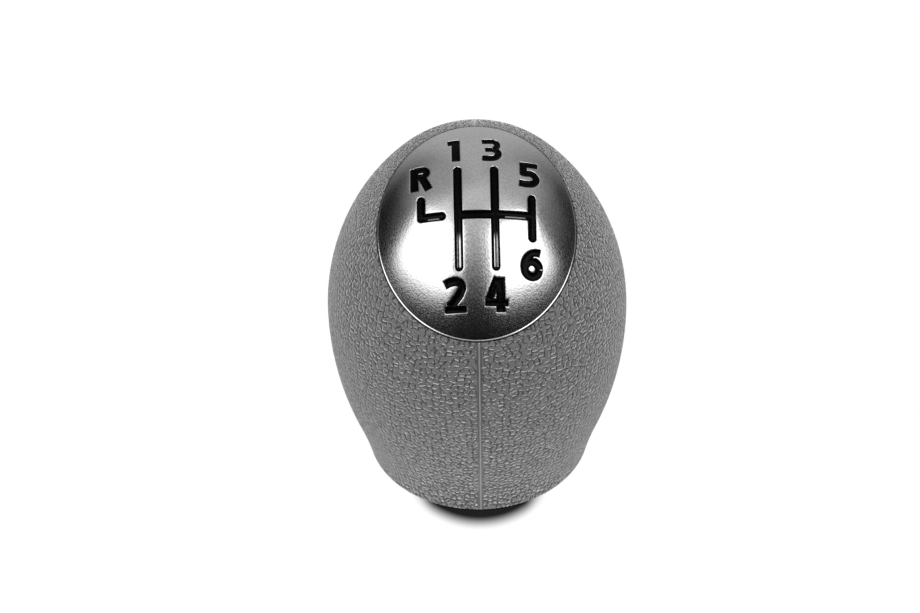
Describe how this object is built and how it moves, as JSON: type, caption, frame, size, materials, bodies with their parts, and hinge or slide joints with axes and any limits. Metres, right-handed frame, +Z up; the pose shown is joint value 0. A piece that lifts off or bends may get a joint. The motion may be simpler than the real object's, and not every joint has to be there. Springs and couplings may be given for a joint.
{
  "type": "gear shift knob",
  "caption": "Egg-shaped gear shift knob with a grained soft skin, a slanted satin chrome gate cap and a ribbed core with a split bush that presses on to the shift lever",
  "frame": {"origin": "on the axis of the lever bore, level with the foot that the knob stands on", "axes": "+Z up along the lever, -Y towards the driver and the slanted cap, +X to the driver's right"},
  "size_m": [0.052, 0.052, 0.0665],
  "materials": {
    "grip_skin": "soft grey skin with a fine leather-like moulded grain",
    "core_plastic": "black moulded plastic",
    "cap_chrome": "satin chrome plating",
    "black_enamel": "glossy black enamel",
    "bush_plastic": "smooth grey moulded plastic",
    "spring_steel": "bright spring wire"
  },
  "bodies": {
    "root": {"grip_skin": "grip_skin", "grip_core": "core_plastic", "gate_cap": "cap_chrome", "gate_enamel": "black_enamel", "reverse_enamel": "black_enamel", "lever_bush": "bush_plastic", "spring_ring": "spring_steel"}
  },
  "joints": []
}
